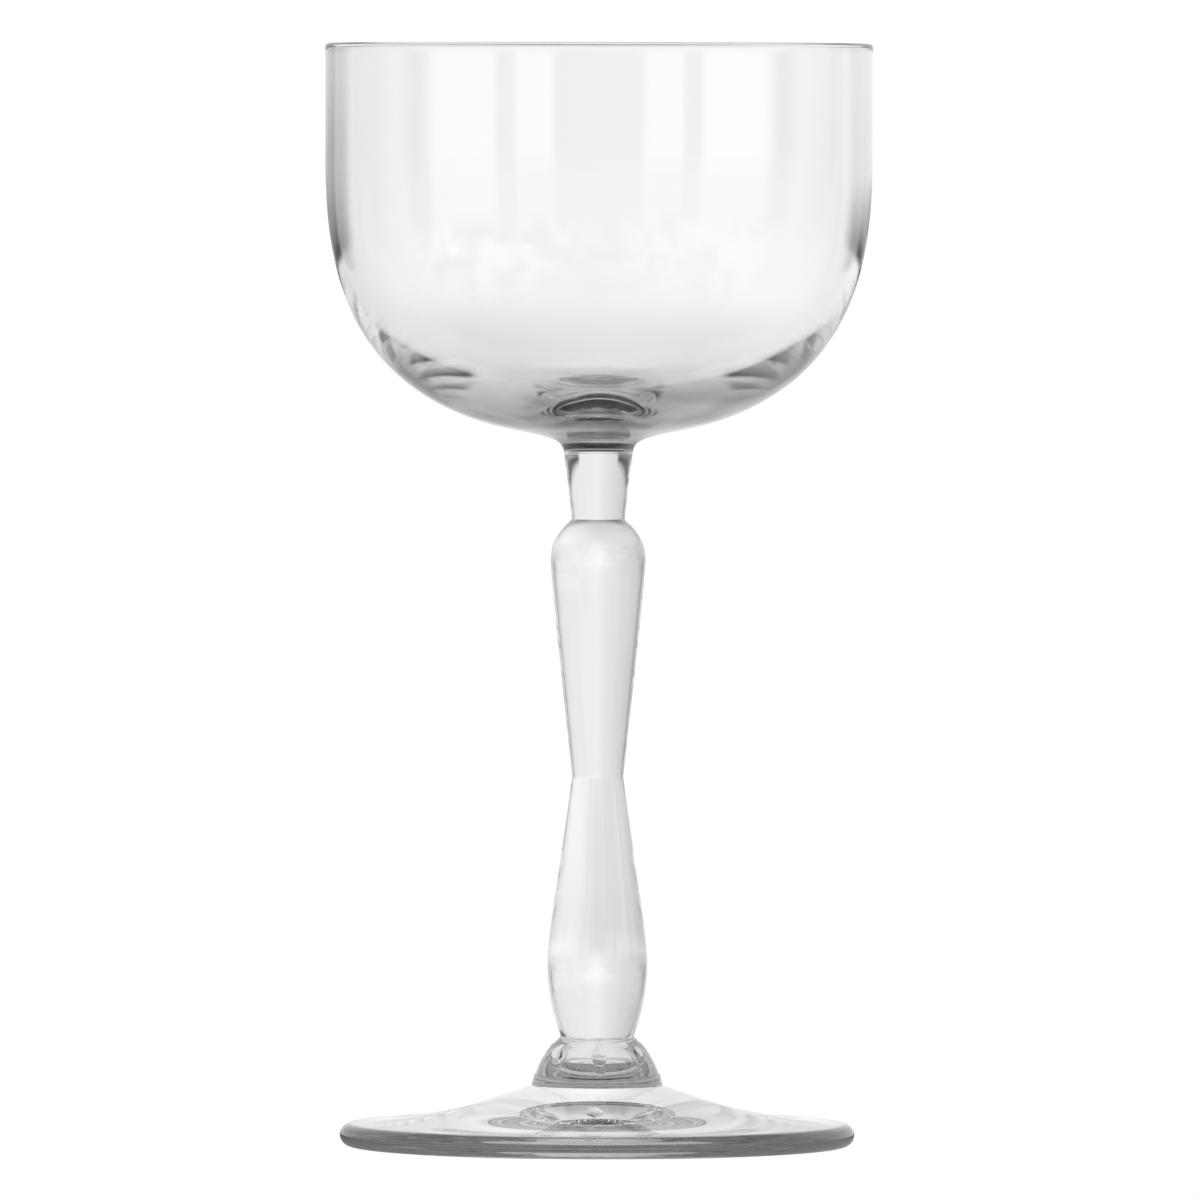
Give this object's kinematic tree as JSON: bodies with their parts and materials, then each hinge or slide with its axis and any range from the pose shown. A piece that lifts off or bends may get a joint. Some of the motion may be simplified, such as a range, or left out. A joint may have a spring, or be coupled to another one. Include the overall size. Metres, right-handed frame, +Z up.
{
  "type": "nick and nora glass",
  "caption": "Clear stemmed cocktail glass with a small deep round bowl, a double-baluster stem, a cut button and a sloping round foot.",
  "frame": {"origin": "centre of the foot's underside, on the surface that the glass stands on", "axes": "+Z up along the stem to the rim; -Y faces the viewer of the picture, +X is the viewer's right"},
  "size_m": [0.076, 0.076, 0.153],
  "materials": {
    "bowl_glass": "clear, fire-polished",
    "stem_glass": "clear, fire-polished",
    "foot_glass": "clear, fire-polished"
  },
  "bodies": {
    "root": {"bowl": "bowl_glass", "stem_neck": "stem_glass", "upper_baluster": "stem_glass", "lower_baluster": "stem_glass", "foot_boss": "foot_glass", "foot_ring": "foot_glass", "foot": "foot_glass"}
  },
  "joints": []
}
